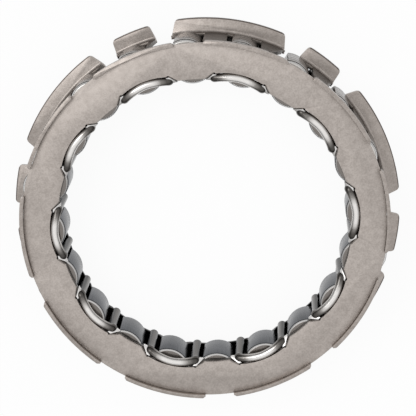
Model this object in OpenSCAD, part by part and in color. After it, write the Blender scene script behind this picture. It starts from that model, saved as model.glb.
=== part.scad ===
// Starter clutch element: a ring of rocking sprags between two sheet-steel cages.
// The ring's axis is Z. It lies on its back flange, with the front plate on top.

/* [Races] */
// Diameter of the inner race that the clutch grips
race_in_d = 54.765; // [54:0.005:55.5]
// Diameter of the outer race that the clutch grips
race_out_d = 71.425; // [71:0.005:72]

/* [Sprags] */
// Length of a sprag along the ring's axis
sprag_len = 8.25; // [7:0.05:9]
// How much taller a free sprag is than its place, on the inner race's side
free_lift_in = 0.1; // [0.05:0.01:0.15]
// How much taller a free sprag is than its place, on the outer race's side
free_lift_out = 0.09; // [0.05:0.01:0.15]
// How far a free sprag sits inwards of its place between the races
float_in = 0.4; // [0.2:0.05:0.45]
// Radius of the cam face on the outer head
head_r_out = 4.2; // [4:0.05:4.5]
// Radius of the cam face on the inner head
head_r_in = 4.4; // [4.2:0.05:4.7]
// Sideways offset of each cam centre from the sprag's own centre
cam_offset = 0.6; // [0.5:0.05:0.7]
// Width of the outer head
head_w_out = 5.2; // [4.6:0.1:5.6]
// Width of the inner head
head_w_in = 6.1; // [5.6:0.1:6.2]
// Width of the waist between the heads
waist_w = 4.2; // [3.6:0.1:4.6]
// Radius of the hollow in each flank
flank_r = 2.4; // [2:0.1:3]
// Chamfer on the ends of the cam faces
sprag_chamfer = 0.4; // [0.2:0.05:0.6]
// Tilt that a sprag has towards its released side, in degrees
tilt_release = 10; // [8:1:11]
// Tilt that a sprag has towards its locked side, in degrees
tilt_lock = 1; // [0:0.5:2]

/* [Cages] */
// Thickness of the cage sheet
sheet_t = 0.7; // [0.6:0.05:0.8]
// Gap between the outer cage and the outer race
outer_race_gap = 0.35; // [0.3:0.05:0.6]
// Gap between the inner cage and the inner race
inner_race_gap = 0.55; // [0.45:0.05:0.75]
// Inside radius of the bend at the back of each cage
flange_bend_r = 0.6; // [0.5:0.05:0.8]
// Height of the plain wall between that bend and the windows
back_strip_h = 0.35; // [0.2:0.05:0.6]
// Outer diameter over the flange tabs
flange_d = 75.4; // [74.5:0.1:77]
// Height of the outer cage's rim above the front plate
rim_proud = 0.8; // [0.4:0.05:1.2]
// Radius of the rounded bars of the inner cage
bar_bead_r = 0.65; // [0.6:0.01:0.7]
// How far the rounded bars stand inside the inner cage
bar_bead_proud = 0.2; // [0.1:0.05:0.3]
// Width of the rolled lips on the inner cage
lip_w = 1.15; // [1:0.05:1.2]
// How far the middle of a lip bows outwards from the bars that carry it
lip_bow = 0.55; // [0.4:0.05:0.6]
// How far the ends of a lip lie below its middle
lip_drop = 0.6; // [0.4:0.05:0.7]
// Height of a lip above the front plate
lip_proud = 0.3; // [0.1:0.05:0.4]
// Width of the sheared shoulder that runs down from each end of a lip
shoulder_w = 0.75; // [0.5:0.05:0.8]
// How far a shoulder starts below the front plate's face
shoulder_low = 0.3; // [0.2:0.05:0.5]
// Depth of the scallops in the inner cage's back edge
scallop_depth = 0.9; // [0.8:0.05:1.1]
// Angle across a scallop, in degrees
scallop_angle = 13.6; // [11:0.1:14]

/* [Flange tabs] */
// Number of wide tabs, with a narrow one between each pair
tab_pairs = 6; // [4:1:6]
// Angle across the tip of a wide tab, in degrees
wide_tab_angle = 32; // [28:1:34]
// Angle across the tip of a narrow tab, in degrees
narrow_tab_angle = 11; // [9:1:13]
// Slant of a wide tab's sides from the radial direction, in degrees
wide_tab_slant = 34; // [20:1:36]
// Slant of a narrow tab's sides from the radial direction, in degrees
narrow_tab_slant = 8; // [0:1:12]
// Radius of the tabs' corners
tab_corner_r = 0.6; // [0.3:0.05:0.9]
// Width of the flat ring that the tabs stand on
tab_root_w = 0.1; // [0.05:0.05:0.4]

/* [Front plate] */
// Thickness of the front plate
plate_t = 0.8; // [0.7:0.05:1]
// Angle across an outer lobe, in degrees
outer_lobe_angle = 9.4; // [8:0.1:12]
// How far an outer lobe reaches into the outer cage's wall
outer_lobe_reach = 0.15; // [0.1:0.05:0.4]
// Gap on each side of an outer lobe, in its notch
notch_gap = 0.25; // [0.1:0.05:0.4]
// How far the inner lobes stand inside the inner cage
inner_lobe_proud = 0.18; // [0.1:0.02:0.24]
// Angle across the edge of an inner lobe, in degrees
inner_lobe_angle = 10.2; // [9.4:0.1:10.8]
// Angle across the foot of an inner lobe, in degrees
inner_foot_angle = 17.2; // [16.6:0.1:17.4]
// Radius of the relief in each corner of the recesses
relief_r = 0.2; // [0.1:0.05:0.3]
// Chamfer on the inner lobes
lobe_chamfer = 0.3; // [0.2:0.05:0.4]

/* [Ribbon spring] */
// Thickness of the ribbon spring
ribbon_t = 0.2; // [0.15:0.01:0.3]
// Height of each rail of the ribbon spring
rail_h = 0.5; // [0.3:0.05:0.6]
// Radius of the fold between two sprags
fold_r = 0.9; // [0.7:0.05:1.1]
// Reach of a tongue from the ribbon's edge
tongue_reach = 0.8; // [0.6:0.05:1]
// Height of a tongue
tongue_h = 4; // [2:0.1:5]
// Lean of a tongue away from its sprag, in degrees
tongue_lean = 20; // [18:1:30]

/* [Clearances] */
// Gap between a sprag's end and the edge of its windows
end_gap = 0.15; // [0.05:0.01:0.3]
// Gap between a sprag's flank at full tilt and its window
side_gap = 0.3; // [0.15:0.05:0.4]
// Gap between pieces that nest in each other
nest_gap = 0.12; // [0.05:0.01:0.2]
// Gap between faces that lie on each other
seat_gap = 0.05; // [0.02:0.01:0.1]
// Gap between a sprag's waist and the ribbon spring
waist_gap = 0.35; // [0.3:0.05:0.5]

/* [Hidden] */
$fn = 96;
eps = 0.01;
// One sprag for each of the sprag nodes below, and a lobe or a lip at each in turn
sprag_count = 20;
pitch = 360 / sprag_count;
lobe_count = sprag_count / 2;
lobe_pitch = 360 / lobe_count;

// Radii, from the races outwards and inwards
race_in_r = race_in_d / 2;
race_out_r = race_out_d / 2;
outer_cage_r = race_out_r - outer_race_gap;
outer_bore_r = outer_cage_r - sheet_t;
inner_bore_r = race_in_r + inner_race_gap;
inner_cage_r = inner_bore_r + sheet_t;
sprag_r = (race_in_r + race_out_r) / 2 - float_in;
crest_in_r = race_in_r - free_lift_in - float_in;
crest_out_r = race_out_r + free_lift_out - float_in;
flange_r = flange_d / 2;
tab_root_r = outer_cage_r + flange_bend_r + tab_root_w;
// The front plate lies inside the outer cage, and its outer lobes reach into the cage's wall
plate_r = outer_bore_r - nest_gap;
outer_lobe_r = outer_bore_r + outer_lobe_reach;
notch_half_angle = outer_lobe_angle / 2 + asin(notch_gap / outer_cage_r);
inner_lobe_r = inner_bore_r - inner_lobe_proud;

// Heights, from the floor up
wall_z0 = sheet_t + flange_bend_r;
window_z0 = wall_z0 + back_strip_h;
sprag_z0 = window_z0 + end_gap;
sprag_z1 = sprag_z0 + sprag_len;
window_z1 = sprag_z1 + end_gap;
strip_h = sheet_t - end_gap;
strip_z1 = window_z1 + strip_h;
plate_z0 = strip_z1 + seat_gap;
plate_z1 = plate_z0 + plate_t;
rim_z1 = plate_z1 + rim_proud;

// Sprag section: X is radial and Y runs round the ring, from the sprag's own centre
cam_x_out = crest_out_r - sprag_r - head_r_out;
cam_x_in = crest_in_r - sprag_r + head_r_in;

// Windows: the head's edges, carried round by the tilt at the cage's far surface
outer_reach = outer_cage_r - sprag_r;
inner_reach = sprag_r - inner_bore_r;
outer_window_y = [
    -head_w_out / 2 - outer_reach * sin(tilt_lock) - side_gap,
    head_w_out / 2 + outer_reach * sin(tilt_release) + side_gap
];
inner_window_y = [
    -head_w_in / 2 - inner_reach * sin(tilt_release) - side_gap,
    head_w_in / 2 + inner_reach * sin(tilt_lock) + side_gap
];

// Bars of the inner cage, half way between its windows
bar_r = inner_bore_r - bar_bead_proud + bar_bead_r;
bar_angle = pitch / 2;
// The lips, lobes and tabs are centred on the inner cage's windows
window_turn = asin((inner_window_y[0] + inner_window_y[1]) / 2 / bar_r);

// Radius of the arc that rises by sag over half of its chord
function arc_r(half_chord, sag) = (half_chord * half_chord + sag * sag) / (2 * sag);

// Lips: arcs through the tops of two bars and a higher middle
lip_r = lip_w / 2;
lip_mid_r = bar_r + lip_bow;
lip_mid_z = plate_z1 + lip_proud - lip_r;
lip_end_z = lip_mid_z - lip_drop;
lip_end = [bar_r * cos(bar_angle), bar_r * sin(bar_angle)];
lip_rise = [lip_mid_r - lip_end[0], lip_mid_z - lip_end_z];
lip_slope = atan2(lip_rise[1], lip_rise[0]);
lip_arc_r = arc_r(lip_end[1], norm(lip_rise));
lip_half_angle = asin(lip_end[1] / lip_arc_r);

// Recesses of the front plate, round the lips
recess_mid_r = lip_mid_r + lip_r + nest_gap;
recess_foot_r = bar_r + bar_bead_r + nest_gap;
recess_foot_angle = pitch - inner_foot_angle / 2;
recess_foot = [recess_foot_r * cos(recess_foot_angle), recess_foot_r * sin(recess_foot_angle)];
recess_r = arc_r(recess_foot[1], recess_mid_r - recess_foot[0]);

// Ribbon spring
ribbon_r = sprag_r;
ribbon_z0 = window_z0 - rail_h;
ribbon_z1 = window_z1 + rail_h;
ribbon_window_w = waist_w + 2 * waist_gap;

function polar(r, a) = [r * cos(a), r * sin(a)];

module ring(r_in, r_out, z0, z1) {
    translate([0, 0, z0])
    difference() {
        cylinder(r = r_out, h = z1 - z0);
        translate([0, 0, -1]) cylinder(r = r_in, h = z1 - z0 + 2);
    }
}

// Copies its child at every sprag, with X pointing outwards
module at_sprags() {
    for (i = [0 : sprag_count - 1]) rotate(i * pitch) children();
}

// Copies its child at every lobe of the front plate, or half a pitch further on
module at_lobes(shift = 0) {
    for (i = [0 : lobe_count - 1]) rotate(i * lobe_pitch + shift + window_turn) children();
}

// A window through a cage wall, centred on the ring's X axis
module window(r, y, z0, z1) {
    translate([r - 2 * sheet_t, y[0], z0]) cube([4 * sheet_t, y[1] - y[0], z1 - z0]);
}

// Wedge between two angles, out to radius r
module wedge(r, half_angle) {
    polygon([[0, 0], polar(r, -half_angle), polar(r, half_angle)]);
}

// Half of a flange tab: a slanted side that ends in a round corner at the tip
module tab_side(half_angle, slant) {
    tip = polar(flange_r, half_angle);
    along = [-cos(half_angle + slant), -sin(half_angle + slant)];
    inward = [-along[1], along[0]] * -1;
    root = tip + along * (flange_r - outer_bore_r) / cos(slant);
    from_tip = tip + inward * tab_corner_r;
    // Distance along the side at which the corner's circle touches the tip's circle
    b = from_tip * along;
    c = from_tip * from_tip - pow(flange_r - tab_corner_r, 2);
    centre = from_tip + along * (-b - sqrt(b * b - c));
    foot = centre - inward * tab_corner_r;
    crest = centre * flange_r / (flange_r - tab_corner_r);
    difference() {
        polygon([[0, 0], root, tip, [flange_r, 0]]);
        difference() {
            polygon([centre, foot, tip + (crest - centre), crest]);
            translate(centre) circle(r = tab_corner_r);
        }
    }
}

module tab_outline(half_angle, slant) {
    intersection() {
        union() {
            tab_side(half_angle, slant);
            mirror([0, 1]) tab_side(half_angle, slant);
            wedge(flange_r / cos(half_angle), half_angle / 2);
        }
        circle(r = flange_r);
    }
}

module tab_outlines() {
    for (i = [0 : tab_pairs - 1]) {
        rotate(i * 360 / tab_pairs) tab_outline(wide_tab_angle / 2, wide_tab_slant);
        rotate((i + 0.5) * 360 / tab_pairs) tab_outline(narrow_tab_angle / 2, narrow_tab_slant);
    }
}

// Section of a cage: its wall, the bend at the back, and a flat flange
module cage_section(wall_r, wall_z1, flat_r) {
    bend_r = flange_bend_r + sheet_t;
    centre = [wall_r + bend_r, bend_r];
    difference() {
        translate([wall_r, 0]) square([flat_r - wall_r, wall_z1]);
        // The space outside the wall and above the flange
        translate([wall_r + sheet_t, centre[1]]) square([flat_r, wall_z1]);
        translate([centre[0], sheet_t]) square([flat_r, wall_z1]);
        translate(centre) circle(r = flange_bend_r);
        // The space under the bend
        difference() {
            translate([wall_r - 1, -1]) square([bend_r + 1, bend_r + 1]);
            translate(centre) circle(r = bend_r);
        }
    }
}

module outer_cage() {
    color([0.68, 0.65, 0.63])
    difference() {
        union() {
            rotate_extrude() cage_section(outer_bore_r, rim_z1, tab_root_r);
            linear_extrude(sheet_t) difference() {
                rotate(window_turn) tab_outlines();
                circle(r = tab_root_r - tab_root_w / 2);
            }
        }
        at_sprags() window(outer_cage_r, outer_window_y, window_z0, window_z1);
        // Notches that hold the front plate's outer lobes, open to the sprags below
        at_lobes() translate([0, 0, window_z1 - eps])
            linear_extrude(rim_z1) difference() {
                wedge(2 * outer_cage_r, notch_half_angle);
                circle(r = outer_bore_r - sheet_t);
            }
    }
}

// A rolled lip: an arc that rises from the tops of two bars
module lip() {
    translate([lip_mid_r, 0, lip_mid_z]) rotate([0, -lip_slope, 0]) translate([-lip_arc_r, 0, 0])
        rotate(-lip_half_angle) rotate_extrude(angle = 2 * lip_half_angle)
            translate([lip_arc_r, 0]) circle(r = lip_r);
    for (side = [0, 1]) mirror([0, side, 0]) rotate(bar_angle) {
        rounded_bar();
        shoulder();
    }
}

// A rounded bar with a domed top, which the end of a lip grows out of
module rounded_bar() {
    translate([bar_r, 0, window_z0 - eps]) rotate_extrude() intersection() {
        union() {
            square([bar_bead_r, lip_end_z - window_z0]);
            translate([0, lip_end_z - window_z0]) circle(r = bar_bead_r);
        }
        square([bar_bead_r, rim_z1]);
    }
}

// The sheared edge that runs down from a lip to the strip under an inner lobe
module shoulder() {
    wall_margin = sheet_t / 10;
    translate([inner_bore_r + wall_margin, 0, 0]) rotate([90, 0, 90])
        linear_extrude(sheet_t - 2 * wall_margin)
            polygon([
                [0, window_z1 + strip_h / 2],
                [shoulder_w, window_z1 + strip_h / 2],
                [shoulder_w, strip_z1 + seat_gap],
                [0, plate_z1 - shoulder_low]
            ]);
}

module inner_cage() {
    collar_r = outer_bore_r - nest_gap;
    scallop_foot = inner_bore_r * [cos(scallop_angle / 2), sin(scallop_angle / 2)];
    scallop_mid = inner_bore_r + scallop_depth;
    scallop_r = arc_r(scallop_foot[1], scallop_mid - scallop_foot[0]);
    color([0.6, 0.58, 0.56])
    difference() {
        union() {
            difference() {
                rotate_extrude() cage_section(inner_bore_r, strip_z1, collar_r);
                // Every second sprag has a lip in place of the front strip
                for (i = [0 : sprag_count - 1]) rotate(i * pitch)
                    window(inner_cage_r, inner_window_y, window_z0, i % 2 == 1 ? strip_z1 + 1 : window_z1);
            }
            at_lobes(pitch) lip();
        }
        // Scallops in the back edge, under the lips
        at_lobes(pitch) translate([scallop_mid - scallop_r, 0, -1])
            cylinder(r = scallop_r, h = window_z0 + 1 + end_gap);
    }
}

module plate_opening() {
    circle(r = inner_lobe_r);
    at_lobes(pitch) {
        intersection() {
            translate([recess_mid_r - recess_r, 0]) circle(r = recess_r);
            wedge(2 * plate_r, recess_foot_angle);
        }
        polygon([
            [0, 0],
            polar(inner_lobe_r, inner_lobe_angle / 2 - pitch),
            polar(recess_foot_r, inner_foot_angle / 2 - pitch),
            polar(recess_foot_r, pitch - inner_foot_angle / 2),
            polar(inner_lobe_r, pitch - inner_lobe_angle / 2)
        ]);
        for (side = [-1, 1]) translate([recess_foot[0], side * recess_foot[1]]) circle(r = relief_r);
    }
}

module front_plate_outline() {
    difference() {
        union() {
            circle(r = plate_r);
            at_lobes() intersection() {
                circle(r = outer_lobe_r);
                wedge(2 * outer_cage_r, outer_lobe_angle / 2);
            }
        }
        plate_opening();
    }
}

// Tool for the chamfers along the slanted sides of the inner lobes
module slant_chamfers() {
    from = polar(inner_lobe_r, inner_lobe_angle / 2);
    slant = polar(recess_foot_r, inner_foot_angle / 2) - from;
    at_lobes() for (side = [0, 1]) mirror([0, side, 0])
        translate([from[0], from[1], 0])
            rotate(atan2(slant[1], slant[0]))
                rotate([-45, 0, 0])
                    translate([-1, -1, -lobe_chamfer * sqrt(2) / 2])
                        cube([norm(slant) + 1, 2, 2]);
}

module front_plate() {
    color([0.7, 0.67, 0.65])
    difference() {
        difference() {
            translate([0, 0, plate_z0]) linear_extrude(plate_t) front_plate_outline();
            translate([0, 0, plate_z1]) rotate_extrude() polygon([
                [inner_lobe_r - 1, -lobe_chamfer - 1],
                [inner_lobe_r, -lobe_chamfer],
                [inner_lobe_r + lobe_chamfer + 1, 1],
                [inner_lobe_r - 1, 1]
            ]);
        }
        translate([0, 0, plate_z1]) slant_chamfers();
    }
}

module ribbon_spring() {
    fold_outer_r = fold_r + ribbon_t / 2;
    fold_h = window_z1 - window_z0 + 2 * eps;
    edge_y = ribbon_window_w / 2;
    tongue_z = (window_z0 + window_z1 - tongue_h) / 2;
    color([0.45, 0.44, 0.45]) {
        difference() {
            ring(ribbon_r - ribbon_t / 2, ribbon_r + ribbon_t / 2, ribbon_z0, ribbon_z1);
            at_sprags() window(ribbon_r, [-edge_y, edge_y], window_z0, window_z1);
            at_sprags() rotate(pitch / 2) window(ribbon_r, [-fold_r, fold_r], window_z0, window_z1);
        }
        // Folds between the sprags
        at_sprags() rotate(pitch / 2) translate([ribbon_r - ribbon_t / 2, 0, window_z0 - eps])
            intersection() {
                ring(fold_outer_r - ribbon_t, fold_outer_r, 0, fold_h);
                translate([0, -2 * fold_r, -1]) cube([2 * fold_r, 4 * fold_r, fold_h + 2]);
            }
        // Tongues that lean towards the sprags' outer heads
        at_sprags() translate([ribbon_r - ribbon_t / 2, edge_y + ribbon_t, tongue_z])
            rotate(tongue_lean) translate([0, -ribbon_t, 0]) cube([tongue_reach, ribbon_t, tongue_h]);
    }
}

module sprag_section() {
    hollow_y = waist_w / 2 + flank_r;
    difference() {
        union() {
            translate([0, -head_w_out / 2]) square([crest_out_r - sprag_r, head_w_out]);
            translate([crest_in_r - sprag_r, -head_w_in / 2]) square([sprag_r - crest_in_r + eps, head_w_in]);
        }
        for (side = [-1, 1]) translate([0, side * hollow_y]) circle(r = flank_r);
    }
}

// A chamfered cam drum, of which a head is one side
module cam_drum(r) {
    rotate_extrude() polygon([
        [0, 0], [r - sprag_chamfer, 0], [r, sprag_chamfer],
        [r, sprag_len - sprag_chamfer], [r - sprag_chamfer, sprag_len], [0, sprag_len]
    ]);
}

module sprag(index) {
    big = 2 * head_r_in;
    color([0.42, 0.42, 0.44])
    rotate(index * pitch) translate([sprag_r, 0, sprag_z0])
        intersection() {
            linear_extrude(sprag_len) sprag_section();
            union() {
                intersection() {
                    translate([cam_x_out, cam_offset, 0]) cam_drum(head_r_out);
                    translate([0, -big, -1]) cube([big, 2 * big, sprag_len + 2]);
                }
                intersection() {
                    translate([cam_x_in, -cam_offset, 0]) cam_drum(head_r_in);
                    translate([-big, -big, -1]) cube([big + eps, 2 * big, sprag_len + 2]);
                }
            }
        }
}

outer_cage();
inner_cage();
front_plate();
ribbon_spring();
sprag(0);  // sprag_01
sprag(1);  // sprag_02
sprag(2);  // sprag_03
sprag(3);  // sprag_04
sprag(4);  // sprag_05
sprag(5);  // sprag_06
sprag(6);  // sprag_07
sprag(7);  // sprag_08
sprag(8);  // sprag_09
sprag(9);  // sprag_10
sprag(10);  // sprag_11
sprag(11);  // sprag_12
sprag(12);  // sprag_13
sprag(13);  // sprag_14
sprag(14);  // sprag_15
sprag(15);  // sprag_16
sprag(16);  // sprag_17
sprag(17);  // sprag_18
sprag(18);  // sprag_19
sprag(19);  // sprag_20
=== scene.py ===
"""Looks of the starter clutch: a ring of rocking sprags between two pressed sheet-steel cages."""
import math

import bmesh
import bpy
from mathutils import Matrix, Vector


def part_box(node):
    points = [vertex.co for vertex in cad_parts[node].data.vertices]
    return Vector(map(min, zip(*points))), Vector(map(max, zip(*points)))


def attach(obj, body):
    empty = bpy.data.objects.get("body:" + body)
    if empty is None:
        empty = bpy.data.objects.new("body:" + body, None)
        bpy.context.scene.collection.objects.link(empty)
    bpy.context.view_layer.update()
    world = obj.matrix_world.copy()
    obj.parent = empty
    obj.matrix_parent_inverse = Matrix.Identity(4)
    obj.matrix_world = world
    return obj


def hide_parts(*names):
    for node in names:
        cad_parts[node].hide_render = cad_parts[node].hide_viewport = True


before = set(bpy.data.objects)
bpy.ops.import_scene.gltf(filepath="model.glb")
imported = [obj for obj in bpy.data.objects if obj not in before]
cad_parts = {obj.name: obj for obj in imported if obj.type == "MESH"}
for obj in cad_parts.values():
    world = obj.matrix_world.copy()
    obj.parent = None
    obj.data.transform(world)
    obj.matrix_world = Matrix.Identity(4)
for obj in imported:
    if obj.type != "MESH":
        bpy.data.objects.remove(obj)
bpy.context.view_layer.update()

MM = 0.001

# Heights, read from the frame in metres and used in millimetres
PLATE_FACE_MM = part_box("front_plate")[1].z / MM
RIM_TOP_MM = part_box("outer_cage")[1].z / MM
sprag_low, sprag_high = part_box("sprag_01")
SPRAG_TOP_MM = sprag_high.z / MM

SPRAG_COUNT = 20
LOBE_COUNT = 10
TAB_PAIRS = 6

# Outer cage, in millimetres: a wall joggled out to the rim, and a flange at the back
SHEET = 0.7
FLANGE_R = 37.7
WALL_R = 34.95
RIM_R = 35.3
RIM_BORE_R = 34.6
BEND_R = 0.6
BEND_STEPS = 8
JOGGLE_Z = (9.3, 10.7)
JOGGLE_INSIDE_LAG = 0.3
LEG_SLOT_TOP_Z = 11.2
LEG_SLOT_OVERLAP = 0.1
NOTCH_LOW_Z = 10.1
NOTCH_FLARE_DEPTH = 0.35
NOTCH_INSIDE = 0.3
WINDOW_MARGIN = 0.15
WINDOW_SIDES = (-2.97, 3.63)
WINDOW_REACH = 2
TAB_CORNER = 0.7
CORNER_STEPS = 5
CUTTER_BORE_R = WALL_R - 2 * SHEET
CUTTER_SPARE = 1
RING_STEPS = 360

# Angles in degrees. The lobes and tabs sit half a degree round from the sprags. The others are half widths:
# of each tab at its tip and root, of the leg behind it at its foot and top, and of the rim's notches.
LOBE_TURN = -0.51
WIDE_TAB_TIP, WIDE_TAB_ROOT = 16.3, 19.0
WIDE_LEG_FOOT, WIDE_LEG_TOP = 18.4, 12.5
NARROW_TAB_TIP, NARROW_TAB_ROOT = 5.8, 7.2
NARROW_LEG_FOOT, NARROW_LEG_TOP = 6.8, 3.2
NOTCH_HALF = 4.6
NOTCH_FLARE = 0.8

# The radius that the inner cage's back collar is trimmed to, how far past it a point counts as the collar's
# edge, and the radius of the front plate's inner lobes, in millimetres
COLLAR_R = 33.2
COLLAR_BAND = 0.5
LOBE_EDGE_R = 28.05

# Rolled lips, from a bar's foot to the crown: the radius in millimetres, the angle from the lip's middle in
# degrees, then the depth below the plate's face and the half thickness in millimetres
LIP_PATH = (
    (28.35, 9.1, 10.7, 0.92),
    (28.35, 9.1, 2.4, 0.92),
    (28.25, 9.3, 1.25, 0.95),
    (28.32, 7.9, 0.8, 0.8),
    (28.58, 4.8, 0.5, 0.78),
    (28.8, 0, 0.38, 0.78),
)
LIP_SIDES = 24
LIP_STEPS = 6

# Sheared flaps beside the lobes: the corners as a radius in millimetres, an angle from the lobe's middle in
# degrees and a depth below the plate's face in millimetres, and the depth of their undersides
FLAP = ((27.7, 5.5, 0.9), (27.7, 7.4, 0.9), (29.0, 9.5, 0.1), (29.0, 8.2, 0.1))
FLAP_LOW = 1.7

# How far each edge is rounded, in millimetres
BLANKED_EDGE = 0.09
SHEARED_EDGE = 0.04
STRIP_EDGE = 0.03
GROUND_EDGE = 0.08

# What counts as one point, a flat face, an edge to round, a level face and a crease
SAME_POINT_MM = 0.002
FLAT_DEGREES = 0.8
EDGE_DEGREES = 28
LEVEL_NORMAL = 0.9999
CREASE_DEGREES = 35

# How much of a steel's mottle is its grain, and the middle part of a noise that its colours and shine span
GRAIN_SHARE = 0.55
COLOUR_SPAN = (0.35, 0.65)
SHINE_SPAN = (0.3, 0.7)

# Where the painted light and shade and the sprags' end faces lie, each as where it starts and where it is
# full. Those in degrees count from the middle of a lip or of a window's bar. Those in millimetres count from
# the face or edge that they belong to, apart from the outer heads', which are radii.
WALL_FOOT_MM = (0, 0.5)
WALL_TOP_MM = (0.1, -0.3)
FLANGE_EDGE_MM = (-0.22, -0.14)
FLANGE_TOP_MM = (0.3, 0.2)
LIP_END_DEGREES = (5.0, 8.6)
LIP_CROWN_DEGREES = (6.5, 3.5)
LIP_CROWN_MM = (-0.3, 0.2)
WINDOW_SIDE_DEGREES = (0.4, 1.1)
WINDOW_SIDE_MM = (-1.0, -1.6)
CHAMFER_MM = (-0.3, -0.26)
END_FACE_MM = (-0.06, -0.03)
OUTER_HEAD_MM = (33.4, 33.8)

# Spacing of the painted reflection lines in rings across the sprags' outer heads, and how far from its
# middle each line starts and is full, as shares of that spacing
RING_PITCH_MM = 1.65
RING_LINE = (0.3, 0.12)

# The photograph's view: the camera stands over the ring, tilted and swung a little from its axis
VIEW_DISTANCE = 320 * MM
VIEW_TILT = math.radians(15.9)
VIEW_SWING = math.radians(-2.6)
VIEW_TURN = math.radians(22.76)
RING_OFFSET = Vector((-0.68 * MM, -3.04 * MM, 0))
FRAME_PIXELS = 416
PIXELS_PER_MM = 5.26
SENSOR_MM = 36

# Studio, in metres and watts
FLOOR_GAP = 0.02 * MM
FLOOR_HALF = 1.5
FLOOR_GLOW = 0.93
TENT_TOP = 0.85
LAMP_PLACE = Vector((-0.15, 0.25, 0.45))
LAMP_WIDTH = 0.25
LAMP_POWER = 0.45

# Places of a colour mix node's inputs and output, and of a number mix node's inputs
SHARE, FIRST_NUMBER, SECOND_NUMBER = 0, 2, 3
FIRST_COLOUR, SECOND_COLOUR, MIXED_COLOUR = 6, 7, 2


def add_camera():
    """The camera at the photograph's angle, distance and roll."""
    turn = Matrix.Rotation(VIEW_SWING, 3, "Y") @ Matrix.Rotation(VIEW_TILT, 3, "X")
    turn = turn @ Matrix.Rotation(VIEW_TURN, 3, "Z")
    back = turn.transposed()
    place = back @ (Vector((0, 0, VIEW_DISTANCE)) - RING_OFFSET) + Vector((0, 0, PLATE_FACE_MM * MM))
    data = bpy.data.cameras.new("camera")
    data.sensor_width = SENSOR_MM
    data.lens = PIXELS_PER_MM * VIEW_DISTANCE / MM * SENSOR_MM / FRAME_PIXELS
    data.clip_start = 0.01
    data.clip_end = 20
    camera = bpy.data.objects.new("camera", data)
    camera.matrix_world = Matrix.Translation(place) @ back.to_4x4()
    bpy.context.scene.collection.objects.link(camera)
    bpy.context.scene.camera = camera


def linear(hex_colour):
    """The linear RGBA colour of an sRGB hex value such as #B4ACA7."""
    parts = [int(hex_colour[i:i + 2], 16) / 255 for i in (1, 3, 5)]
    return [c / 12.92 if c <= 0.04045 else ((c + 0.055) / 1.055) ** 2.4 for c in parts] + [1]


def add_node(tree, kind, settings=None, links=None):
    """Adds a node. settings are its attributes or input values, links its inputs' sources."""
    node = tree.nodes.new(kind)
    for key, value in (settings or {}).items():
        if hasattr(node, key):
            setattr(node, key, value)
        else:
            node.inputs[key].default_value = value
    for key, source in (links or {}).items():
        tree.links.new(source, node.inputs[key])
    return node


def empty_material(name):
    """A material with no nodes yet, and its node tree."""
    material = bpy.data.materials.new(name)
    material.use_nodes = True
    tree = material.node_tree
    tree.nodes.clear()
    return material, tree


def steel(name, dark, light, roughness, rough_spread, grain_mm, grain_depth_mm,
          stretch=(1, 1, 1), blotch_mm=4.0):
    """Bare steel: a metal with a faint blotch, and a fine grain in its colour, bump and roughness.

    dark and light are the hex colours that the mottle runs between. A tumbled or rolled grain is about
    0.1 mm, and grain_mm draws it up to three times as coarse, so that it shows. stretch squeezes the
    grain's pattern along each axis, so that a small value draws it out into lines.
    """
    material, tree = empty_material(name)
    place = add_node(tree, "ShaderNodeTexCoord")
    blotch = add_node(tree, "ShaderNodeTexNoise",
                      {"Scale": 1 / (blotch_mm * MM), "Detail": 3.0, "Roughness": 0.6},
                      {"Vector": place.outputs["Object"]})
    lines = add_node(tree, "ShaderNodeMapping", {"Scale": stretch}, {"Vector": place.outputs["Object"]})
    grain = add_node(tree, "ShaderNodeTexNoise", {"Scale": 1 / (grain_mm * MM), "Detail": 2.0},
                     {"Vector": lines.outputs["Vector"]})
    mottle = add_node(tree, "ShaderNodeMix", {"data_type": "FLOAT"})
    mottle.inputs[SHARE].default_value = GRAIN_SHARE
    tree.links.new(blotch.outputs["Fac"], mottle.inputs[FIRST_NUMBER])
    tree.links.new(grain.outputs["Fac"], mottle.inputs[SECOND_NUMBER])
    colour = add_node(tree, "ShaderNodeValToRGB", {}, {"Fac": mottle.outputs[0]})
    for stop, position, hex_colour in zip(colour.color_ramp.elements, COLOUR_SPAN, (dark, light)):
        stop.position = position
        stop.color = linear(hex_colour)
    rough = add_node(tree, "ShaderNodeMapRange",
                     {"From Min": SHINE_SPAN[0], "From Max": SHINE_SPAN[1],
                      "To Min": roughness - rough_spread, "To Max": roughness + rough_spread},
                     {"Value": grain.outputs["Fac"]})
    bump = add_node(tree, "ShaderNodeBump", {"Strength": 1.0, "Distance": grain_depth_mm * MM},
                    {"Height": grain.outputs["Fac"]})
    shader = add_node(tree, "ShaderNodeBsdfPrincipled", {"Metallic": 1.0},
                      {"Base Color": colour.outputs["Color"], "Roughness": rough.outputs["Result"],
                       "Normal": bump.outputs["Normal"]})
    add_node(tree, "ShaderNodeOutputMaterial", {}, {"Surface": shader.outputs["BSDF"]})
    return material


def place_parts(tree):
    """The distance from the ring's axis and the height of the point that is shaded."""
    place = next(node for node in tree.nodes if node.bl_idname == "ShaderNodeTexCoord")
    axes = add_node(tree, "ShaderNodeSeparateXYZ", {}, {"Vector": place.outputs["Object"]})
    flat = add_node(tree, "ShaderNodeCombineXYZ", {}, {"X": axes.outputs["X"], "Y": axes.outputs["Y"]})
    reach = add_node(tree, "ShaderNodeVectorMath", {"operation": "LENGTH"},
                     {"Vector": flat.outputs["Vector"]})
    return reach.outputs["Value"], axes.outputs["Z"]


def ramp_degrees(tree, value, span):
    """A share that goes from 0 to 1 as an angle in degrees goes through a span."""
    return add_node(tree, "ShaderNodeMapRange", {"From Min": span[0], "From Max": span[1]},
                    {"Value": value}).outputs["Result"]


def ramp(tree, value, level_mm, span_mm):
    """A share that goes from 0 to 1 as a length goes through a span that counts from a level."""
    return ramp_degrees(tree, value, [(level_mm + end) * MM for end in span_mm])


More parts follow.
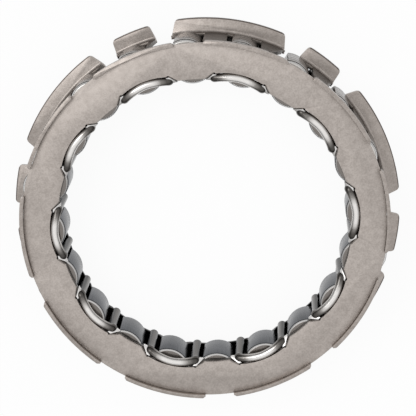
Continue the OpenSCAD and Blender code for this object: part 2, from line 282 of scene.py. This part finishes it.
def both_of(tree, first, second):
    """The product of two shares."""
    node = add_node(tree, "ShaderNodeMath", {"operation": "MULTIPLY"})
    tree.links.new(first, node.inputs[0])
    tree.links.new(second, node.inputs[1])
    return node.outputs["Value"]


def overlay(tree, share, hex_colour):
    """Lays another colour over the material's own, as far as share says."""
    shader = next(node for node in tree.nodes if node.bl_idname == "ShaderNodeBsdfPrincipled")
    own = shader.inputs["Base Color"].links[0].from_socket
    mix = add_node(tree, "ShaderNodeMix", {"data_type": "RGBA"})
    tree.links.new(share, mix.inputs[SHARE])
    tree.links.new(own, mix.inputs[FIRST_COLOUR])
    mix.inputs[SECOND_COLOUR].default_value = linear(hex_colour)
    tree.links.new(mix.outputs[MIXED_COLOUR], shader.inputs["Base Color"])


def tumbled_plate_steel():
    """Mild steel plate, blanked and tumbled: warm, matte and mottled by the tumbling stones' small dents."""
    return steel("tumbled_plate_steel", "#A69E98", "#BFB7B1", roughness=0.5, rough_spread=0.06,
                 grain_mm=0.3, grain_depth_mm=0.006, blotch_mm=1.2)


def pressed_sheet_steel():
    """Mild steel sheet, pressed and tumbled: as the plate with more shine, and painted shade on wall and
    edge.
    """
    material = steel("pressed_sheet_steel", "#98908A", "#B2AAA4", roughness=0.36, rough_spread=0.06,
                     grain_mm=0.3, grain_depth_mm=0.005, blotch_mm=1.2)
    tree = material.node_tree
    reach, height = place_parts(tree)
    # Painted shade: the wall from above the bend to the top of the leg slots is darkened, as it lies in
    # shadow
    painted_wall_shade = both_of(tree, ramp(tree, height, SHEET + BEND_R, WALL_FOOT_MM),
                         ramp(tree, height, LEG_SLOT_TOP_Z, WALL_TOP_MM))
    overlay(tree, painted_wall_shade, "#5E5853")
    # Painted shade: a dark line along the flange's outer edge, below its top face
    painted_edge_shade = both_of(tree, ramp(tree, reach, FLANGE_R, FLANGE_EDGE_MM),
                           ramp(tree, height, SHEET, FLANGE_TOP_MM))
    overlay(tree, painted_edge_shade, "#5A524D")
    return material


def turn_from(tree, degrees, pitch):
    """How far the shaded point lies round the ring from the nearest place of a pattern, in degrees."""
    place = next(node for node in tree.nodes if node.bl_idname == "ShaderNodeTexCoord")
    axes = add_node(tree, "ShaderNodeSeparateXYZ", {}, {"Vector": place.outputs["Object"]})
    angle = add_node(tree, "ShaderNodeMath", {"operation": "ARCTAN2"})
    tree.links.new(axes.outputs["Y"], angle.inputs[0])
    tree.links.new(axes.outputs["X"], angle.inputs[1])
    in_degrees = add_node(tree, "ShaderNodeMath", {"operation": "MULTIPLY_ADD"},
                          {"Value": angle.outputs["Value"]})
    in_degrees.inputs[1].default_value = math.degrees(1)
    in_degrees.inputs[2].default_value = 360 - degrees
    folded = add_node(tree, "ShaderNodeMath", {"operation": "PINGPONG"},
                      {"Value": in_degrees.outputs["Value"]})
    folded.inputs[1].default_value = pitch / 2
    return folded.outputs["Value"]


def rolled_steel_painted_light():
    """The same sheet burnished by rolling: painted highlights on crowns, painted shade on bent ends and
    sides.
    """
    material = steel("rolled_steel_painted_light", "#94908C", "#B6B2AE", roughness=0.2, rough_spread=0.04,
                     grain_mm=0.3, grain_depth_mm=0.004, blotch_mm=1.0)
    tree = material.node_tree
    height = place_parts(tree)[1]
    from_lip = turn_from(tree, 180 / LOBE_COUNT + LOBE_TURN, 360 / LOBE_COUNT)
    # Painted shade: each lip darkens towards its ends, where it bends down to the bars
    overlay(tree, ramp_degrees(tree, from_lip, LIP_END_DEGREES), "#55524F")
    # Painted highlight: near white on each lip's crown, close to the plate's face
    crown = both_of(tree, ramp_degrees(tree, from_lip, LIP_CROWN_DEGREES),
                    ramp(tree, height, PLATE_FACE_MM, LIP_CROWN_MM))
    overlay(tree, crown, "#E4E1DE")
    # Painted shade: near black deep in the windows, everywhere but along the middle of each bar
    from_bar = turn_from(tree, 180 / SPRAG_COUNT + LOBE_TURN, 360 / SPRAG_COUNT)
    painted_window_shade = both_of(tree, ramp_degrees(tree, from_bar, WINDOW_SIDE_DEGREES),
                           ramp(tree, height, PLATE_FACE_MM, WINDOW_SIDE_MM))
    overlay(tree, painted_window_shade, "#232221")
    return material


def sheared_steel_painted_highlight():
    """The bare edge that the shear left beside each lobe, painted near white as a highlight."""
    return steel("sheared_steel_painted_highlight", "#DEDBD8", "#F0EEEC", roughness=0.3, rough_spread=0.05,
                 grain_mm=0.2, grain_depth_mm=0.003)


def ground_bearing_steel():
    """Hardened chrome steel, drawn and ground along the sprag: cool and dark, with lines along the axis.

    The outer heads are painted paler, as lit, with painted reflection lines in rings across them. The lines
    on the real heads are finer, and these are drawn as coarse as they need to be to show. The chamfers carry
    a painted highlight, the brightest.
    """
    material = steel("ground_bearing_steel", "#44464A", "#5E6064", roughness=0.25, rough_spread=0.05,
                     grain_mm=0.15, grain_depth_mm=0.005, stretch=(1, 1, 0.03))
    tree = material.node_tree
    reach, height = place_parts(tree)
    painted_lit_outer_head = ramp(tree, reach, 0, OUTER_HEAD_MM)
    # Painted light: the outer heads paler than the inner ones
    overlay(tree, painted_lit_outer_head, "#96918D")
    # Painted reflections: dark lines in rings across the outer heads
    from_ring = add_node(tree, "ShaderNodeMath", {"operation": "PINGPONG"}, {"Value": height})
    from_ring.inputs[1].default_value = RING_PITCH_MM * MM / 2
    line = ramp(tree, from_ring.outputs["Value"], 0, [share * RING_PITCH_MM for share in RING_LINE])
    overlay(tree, both_of(tree, painted_lit_outer_head, line), "#383533")
    # Painted highlight: near white on the chamfers at the sprags' front ends
    overlay(tree, ramp(tree, height, SPRAG_TOP_MM, CHAMFER_MM), "#F2F0EE")
    end_face = ramp(tree, height, SPRAG_TOP_MM, END_FACE_MM)
    overlay(tree, end_face, "#7C7773")
    # Painted light: the end faces of the lit outer heads paler than those of the inner heads
    overlay(tree, both_of(tree, painted_lit_outer_head, end_face), "#CFCCC8")
    return material


def strip_spring_steel():
    """Cold-rolled spring strip, tempered: darker and smooth."""
    return steel("strip_spring_steel", "#6A6A6E", "#77777A", roughness=0.3, rough_spread=0.04,
                 grain_mm=0.2, grain_depth_mm=0.002)


def polar(radius, degrees, z=0.0):
    """A point in metres, from a radius and a height in millimetres."""
    angle = math.radians(degrees)
    return Vector((radius * math.cos(angle), radius * math.sin(angle), z)) * MM


def off_centre(point, pitch, turn):
    """How many degrees a point lies from the nearest of the places that repeat at a pitch."""
    angle = (math.degrees(math.atan2(point.y, point.x)) - turn) % pitch
    return min(angle, pitch - angle)


def new_piece(name, mesh):
    """An object in the scene that shows a mesh."""
    piece = bpy.data.objects.new(name, mesh)
    bpy.context.scene.collection.objects.link(piece)
    return piece


def revolved(name, section):
    """A ring made by turning a closed section of (radius, height) points in millimetres."""
    points, faces = [], []
    count = len(section)
    for turn in range(RING_STEPS):
        points += [polar(radius, turn * 360 / RING_STEPS, z) for radius, z in section]
    for turn in range(RING_STEPS):
        here, there = turn * count, (turn + 1) % RING_STEPS * count
        for k in range(count):
            m = (k + 1) % count
            faces.append((here + k, there + k, there + m, here + m))
    mesh = bpy.data.meshes.new(name)
    mesh.from_pydata(points, [], faces)
    return mesh


def blocks(name, outlines):
    """One mesh of closed blocks, each between a lower and an upper outline of equal length."""
    work = bmesh.new()
    for low, high in outlines:
        count = len(low)
        base = [work.verts.new(point) for point in low]
        top = [work.verts.new(point) for point in high]
        work.faces.new(base[::-1])
        work.faces.new(top)
        for k in range(count):
            m = (k + 1) % count
            work.faces.new((base[k], base[m], top[m], top[k]))
    bmesh.ops.recalc_face_normals(work, faces=work.faces)
    mesh = bpy.data.meshes.new(name)
    work.to_mesh(mesh)
    work.free()
    return mesh


def carve(mesh, tools):
    """The mesh less each of the tool meshes in turn."""
    work = bmesh.new()
    work.from_mesh(mesh)
    bmesh.ops.recalc_face_normals(work, faces=work.faces)
    work.to_mesh(mesh)
    work.free()
    for tool in tools:
        stock = new_piece("stock", mesh)
        cutter = new_piece("cutter", tool)
        change = stock.modifiers.new("carve", "BOOLEAN")
        change.operation = "DIFFERENCE"
        change.solver = "MANIFOLD"
        change.object = cutter
        seen = stock.evaluated_get(bpy.context.evaluated_depsgraph_get())
        mesh = bpy.data.meshes.new_from_object(seen)
        for used in (stock, cutter):
            bpy.data.objects.remove(used)
    return mesh


def side_of_gap(tip_angle, root_angle, away):
    """One side of a gap between two tabs, from its root to past the flange's edge.

    away is 1 or -1, the way in which the tab lies. The side ends in the tab's round corner.
    """
    root = polar(CUTTER_BORE_R, root_angle)
    tip = polar(FLANGE_R, tip_angle)
    start = tip + (root - tip).normalized() * TAB_CORNER * MM
    end_angle = tip_angle + away * math.degrees(TAB_CORNER / FLANGE_R)
    end = polar(FLANGE_R, end_angle)
    shares = [k / CORNER_STEPS for k in range(CORNER_STEPS + 1)]
    corner = [start.lerp(tip, t).lerp(tip.lerp(end, t), t) for t in shares]
    return [root] + corner + [polar(FLANGE_R + CUTTER_SPARE, end_angle)]


def tab_gaps():
    """The gaps that part the flange into wide and narrow tabs."""
    outlines = []
    for pair in range(TAB_PAIRS):
        wide = pair * 360 / TAB_PAIRS + LOBE_TURN
        narrow = wide + 180 / TAB_PAIRS
        first = side_of_gap(wide + WIDE_TAB_TIP, wide + WIDE_TAB_ROOT, -1)
        second = side_of_gap(narrow - NARROW_TAB_TIP, narrow - NARROW_TAB_ROOT, 1)
        third = side_of_gap(narrow + NARROW_TAB_TIP, narrow + NARROW_TAB_ROOT, -1)
        wide += 360 / TAB_PAIRS
        fourth = side_of_gap(wide - WIDE_TAB_TIP, wide - WIDE_TAB_ROOT, 1)
        outlines += [first + second[::-1], third + fourth[::-1]]
    heights = [Vector((0, 0, z)) * MM for z in (-CUTTER_SPARE, SHEET + BEND_R)]
    return blocks("tab_gaps", [[[point + rise for point in line] for rise in heights] for line in outlines])


def leg_slots():
    """The slots above the gaps, which widen towards the rim and leave a leg behind each tab."""
    def level(start, end, z):
        near, far = CUTTER_BORE_R, FLANGE_R + CUTTER_SPARE
        return [polar(near, start, z), polar(far, start, z), polar(far, end, z), polar(near, end, z)]

    foot_z = SHEET + BEND_R - LEG_SLOT_OVERLAP
    outlines = []
    for pair in range(TAB_PAIRS):
        wide = pair * 360 / TAB_PAIRS + LOBE_TURN
        narrow = wide + 180 / TAB_PAIRS
        next_wide = wide + 360 / TAB_PAIRS
        outlines.append((level(wide + WIDE_LEG_FOOT, narrow - NARROW_LEG_FOOT, foot_z),
                         level(wide + WIDE_LEG_TOP, narrow - NARROW_LEG_TOP, LEG_SLOT_TOP_Z)))
        outlines.append((level(narrow + NARROW_LEG_FOOT, next_wide - WIDE_LEG_FOOT, foot_z),
                         level(narrow + NARROW_LEG_TOP, next_wide - WIDE_LEG_TOP, LEG_SLOT_TOP_Z)))
    return blocks("leg_slots", outlines)


def sprag_windows():
    """The windows that the sprags' outer heads stand out of."""
    heights = (sprag_low.z - WINDOW_MARGIN * MM, sprag_high.z + WINDOW_MARGIN * MM)
    near, far = WALL_R - WINDOW_REACH, WALL_R + WINDOW_REACH
    left, right = WINDOW_SIDES
    corners = [(near, left), (far, left), (far, right), (near, right)]
    outlines = []
    for number in range(SPRAG_COUNT):
        turn = Matrix.Rotation(math.radians(number * 360 / SPRAG_COUNT), 3, "Z")
        outlines.append([[turn @ Vector((x * MM, y * MM, z)) for x, y in corners] for z in heights])
    return blocks("sprag_windows", outlines)


def rim_notches():
    """The notches that hold the front plate's outer lobes, open to the sprags below and flared outwards."""
    flare = NOTCH_HALF + NOTCH_FLARE
    side = [(RIM_BORE_R - NOTCH_INSIDE, NOTCH_HALF), (RIM_R - NOTCH_FLARE_DEPTH, NOTCH_HALF),
            (RIM_R, flare), (RIM_R + CUTTER_SPARE, flare)]
    line = [(r, -a) for r, a in side] + side[::-1]
    heights = (NOTCH_LOW_Z, RIM_TOP_MM + CUTTER_SPARE)
    outlines = []
    for lobe in range(LOBE_COUNT):
        angle = lobe * 360 / LOBE_COUNT + LOBE_TURN
        outlines.append([[polar(r, angle + a, z) for r, a in line] for z in heights])
    return blocks("rim_notches", outlines)


def outer_cage_mesh():
    """The outer cage: flange, bend, wall and rim turned as one section, then cut as the press cuts them."""
    bend = SHEET + BEND_R
    centre = (WALL_R - SHEET + bend, bend)
    turns = [math.radians(k * 90 / BEND_STEPS) for k in range(BEND_STEPS + 1)]
    under = [(centre[0] - bend * math.cos(a), centre[1] - bend * math.sin(a)) for a in turns]
    over = [(centre[0] - BEND_R * math.cos(a), centre[1] - BEND_R * math.sin(a)) for a in turns[::-1]]
    section = under + [(FLANGE_R, 0), (FLANGE_R, SHEET)] + over
    section += [(WALL_R, JOGGLE_Z[0]), (RIM_R, JOGGLE_Z[1]), (RIM_R, RIM_TOP_MM), (RIM_BORE_R, RIM_TOP_MM),
                (RIM_BORE_R, JOGGLE_Z[1]), (WALL_R - SHEET, JOGGLE_Z[0] + JOGGLE_INSIDE_LAG)]
    cutters = [tab_gaps(), leg_slots(), sprag_windows(), rim_notches()]
    return carve(revolved("outer_cage_sheet", section), cutters)


def inner_cage_mesh():
    """The inner cage from the frame, with its back collar trimmed so that light passes behind the rim."""
    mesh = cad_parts["inner_cage"].data.copy()
    for point in mesh.vertices:
        reach = math.hypot(point.co.x, point.co.y)
        if reach < (COLLAR_R + COLLAR_BAND) * MM or point.co.z > 2 * SHEET * MM:
            continue
        from_wide = off_centre(point.co, 360 / TAB_PAIRS, LOBE_TURN)
        from_narrow = off_centre(point.co, 360 / TAB_PAIRS, LOBE_TURN + 180 / TAB_PAIRS)
        if from_wide > WIDE_LEG_TOP and from_narrow > NARROW_LEG_TOP:
            point.co.xy *= COLLAR_R * MM / reach
    return mesh


def rolled_lips():
    """The rolled lips, each one rod that rises from a bar, bows over a sprag and runs down the next bar."""
    half = [(r, a, PLATE_FACE_MM - drop, thick) for r, a, drop, thick in LIP_PATH]
    stops = half + [(r, -a, z, thick) for r, a, z, thick in half[-2::-1]]
    ends = [stops[0]] + stops + [stops[-1]]
    # A smooth curve through the stops, each stretch set by the stops before and after it
    line = []
    for k in range(len(stops) - 1):
        before, start, end, after = ends[k:k + 4]
        for step in range(LIP_STEPS):
            t = step / LIP_STEPS
            line.append([0.5 * (2 * b + (c - a) * t + (2 * a - 5 * b + 4 * c - d) * t * t
                                + (3 * b - a - 3 * c + d) * t ** 3)
                         for a, b, c, d in zip(before, start, end, after)])
    line.append(stops[-1])
    points, faces = [], []
    for lip in range(LOBE_COUNT):
        turn = (lip + 0.5) * 360 / LOBE_COUNT + LOBE_TURN
        path = [polar(r, a + turn, z) for r, a, z, thick in line]
        base = len(points)
        for k, place in enumerate(path):
            along = (path[min(k + 1, len(path) - 1)] - path[max(k - 1, 0)]).normalized()
            outward = Vector((place.x, place.y, 0)).normalized()
            across = along.cross(outward).normalized()
            outward = across.cross(along)
            thick = line[k][3]
            for side in range(LIP_SIDES):
                angle = side * 2 * math.pi / LIP_SIDES
                points.append(place + (outward * math.cos(angle) + across * math.sin(angle)) * thick * MM)
        for k in range(len(path) - 1):
            first = base + k * LIP_SIDES
            for side in range(LIP_SIDES):
                here, there = first + side, first + (side + 1) % LIP_SIDES
                faces.append((here, there, there + LIP_SIDES, here + LIP_SIDES))
        faces.append(list(range(base, base + LIP_SIDES))[::-1])
        faces.append(list(range(len(points) - LIP_SIDES, len(points))))
    mesh = bpy.data.meshes.new("rolled_lips")
    mesh.from_pydata(points, [], faces)
    return mesh


def sheared_flaps():
    """The slanting sheared edges beside the lobes, which run down from the plate's face towards the bars."""
    outlines = []
    for lobe in range(LOBE_COUNT):
        angle = lobe * 360 / LOBE_COUNT + LOBE_TURN
        for side in (-1, 1):
            low = [polar(r, angle + side * a, PLATE_FACE_MM - FLAP_LOW) for r, a, drop in FLAP]
            high = [polar(r, angle + side * a, PLATE_FACE_MM - drop) for r, a, drop in FLAP]
            outlines.append((low, high))
    return blocks("sheared_flaps", outlines)


def front_plate_mesh():
    """The front plate from the frame, with its inner lobes sheared straight down."""
    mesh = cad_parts["front_plate"].data.copy()
    for point in mesh.vertices:
        reach = math.hypot(point.co.x, point.co.y)
        if reach < LOBE_EDGE_R * MM:
            point.co.xy *= LOBE_EDGE_R * MM / reach
    return mesh


def rounded(mesh, edge_mm, rods=None):
    """Rounds a mesh's edges as little as blanking and tumbling do, then adds any rods, round already."""
    mesh.materials.clear()
    work = bmesh.new()
    work.from_mesh(mesh)
    bmesh.ops.remove_doubles(work, verts=work.verts, dist=SAME_POINT_MM * MM)
    flat = math.radians(FLAT_DEGREES)
    bmesh.ops.dissolve_limit(work, angle_limit=flat, verts=work.verts, edges=work.edges)
    sharp = [e for e in work.edges if e.is_manifold and e.calc_face_angle() > math.radians(EDGE_DEGREES)]
    bmesh.ops.bevel(work, geom=sharp, offset=edge_mm * MM, offset_type="OFFSET", segments=2, profile=0.5,
                    affect="EDGES", clamp_overlap=True)
    if rods:
        work.from_mesh(rods)
    # Level faces stay flat, because smooth shading clouds such large ones
    for face in work.faces:
        face.smooth = abs(face.normal.z) < LEVEL_NORMAL
    work.to_mesh(mesh)
    work.free()
    mesh.set_sharp_from_angle(angle=math.radians(CREASE_DEGREES))


def dress(node, name, body, material, edge_mm, mesh=None, rods=None):
    """Puts a rounded, finished piece in a CAD node's place."""
    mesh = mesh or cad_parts[node].data.copy()
    mesh.name = name
    rounded(mesh, edge_mm, rods)
    piece = new_piece(name, mesh)
    mesh.materials.append(material)
    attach(piece, body)
    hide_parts(node)


def add_pieces():
    """Every piece of the clutch, each in its own steel."""
    dress("outer_cage", "outer_cage_sheet", "cages", pressed_sheet_steel(),
          BLANKED_EDGE, outer_cage_mesh())
    dress("inner_cage", "inner_cage_sheet", "cages", rolled_steel_painted_light(),
          BLANKED_EDGE, inner_cage_mesh(), rolled_lips())
    dress("inner_cage", "inner_cage_flaps", "cages", sheared_steel_painted_highlight(),
          SHEARED_EDGE, sheared_flaps())
    dress("front_plate", "front_plate_blank", "cages", tumbled_plate_steel(),
          BLANKED_EDGE, front_plate_mesh())
    dress("ribbon_spring", "ribbon_spring_strip", "cages", strip_spring_steel(),
          STRIP_EDGE)
    sprag_steel = ground_bearing_steel()
    for number in range(1, SPRAG_COUNT + 1):
        node = f"sprag_{number:02d}"
        dress(node, node + "_ground", node, sprag_steel, GROUND_EDGE)


def add_floor():
    """A white sweep under the clutch: the camera and the metal see near white, with a soft shadow."""
    work = bmesh.new()
    bmesh.ops.create_grid(work, x_segments=1, y_segments=1, size=FLOOR_HALF)
    mesh = bpy.data.meshes.new("floor")
    work.to_mesh(mesh)
    work.free()
    floor = new_piece("floor", mesh)
    floor.location.z = -FLOOR_GAP
    material, tree = empty_material("white_sweep")
    path = add_node(tree, "ShaderNodeLightPath")
    seen = add_node(tree, "ShaderNodeMath", {"operation": "MAXIMUM"})
    tree.links.new(path.outputs["Is Camera Ray"], seen.inputs[0])
    tree.links.new(path.outputs["Is Glossy Ray"], seen.inputs[1])
    share = add_node(tree, "ShaderNodeMath", {"operation": "MULTIPLY"})
    tree.links.new(seen.outputs[0], share.inputs[0])
    share.inputs[1].default_value = FLOOR_GLOW
    paper = add_node(tree, "ShaderNodeBsdfDiffuse", {"Color": linear("#F4F4F4")})
    glow = add_node(tree, "ShaderNodeEmission", {"Color": linear("#FFFFFF"), "Strength": 1.0})
    mixed = add_node(tree, "ShaderNodeMixShader", {}, {"Fac": share.outputs[0]})
    tree.links.new(paper.outputs["BSDF"], mixed.inputs[1])
    tree.links.new(glow.outputs["Emission"], mixed.inputs[2])
    add_node(tree, "ShaderNodeOutputMaterial", {}, {"Surface": mixed.outputs["Shader"]})
    mesh.materials.append(material)


def add_studio():
    """A light tent: bright overhead and dimmer towards the horizon, with one soft key lamp."""
    world = bpy.data.worlds.new("light_tent")
    bpy.context.scene.world = world
    world.use_nodes = True
    tree = world.node_tree
    tree.nodes.clear()
    place = add_node(tree, "ShaderNodeTexCoord")
    height = add_node(tree, "ShaderNodeSeparateXYZ", {}, {"Vector": place.outputs["Generated"]})
    tent = add_node(tree, "ShaderNodeValToRGB", {}, {"Fac": height.outputs["Z"]})
    tent.color_ramp.elements[0].color = linear("#7A7A7A")
    tent.color_ramp.elements[1].position = TENT_TOP
    tent.color_ramp.elements[1].color = linear("#FFFFFF")
    sky = add_node(tree, "ShaderNodeBackground", {"Strength": 1.0}, {"Color": tent.outputs["Color"]})
    add_node(tree, "ShaderNodeOutputWorld", {}, {"Surface": sky.outputs["Background"]})
    data = bpy.data.lights.new("key_lamp", "AREA")
    data.shape = "DISK"
    data.size = LAMP_WIDTH
    data.energy = LAMP_POWER
    lamp = bpy.data.objects.new("key_lamp", data)
    lamp.location = LAMP_PLACE
    lamp.rotation_euler = (-LAMP_PLACE).to_track_quat("-Z", "Y").to_euler()
    bpy.context.scene.collection.objects.link(lamp)


def main():
    add_camera()
    add_studio()
    add_floor()
    add_pieces()
    bpy.context.scene.view_settings.view_transform = "Standard"


main()
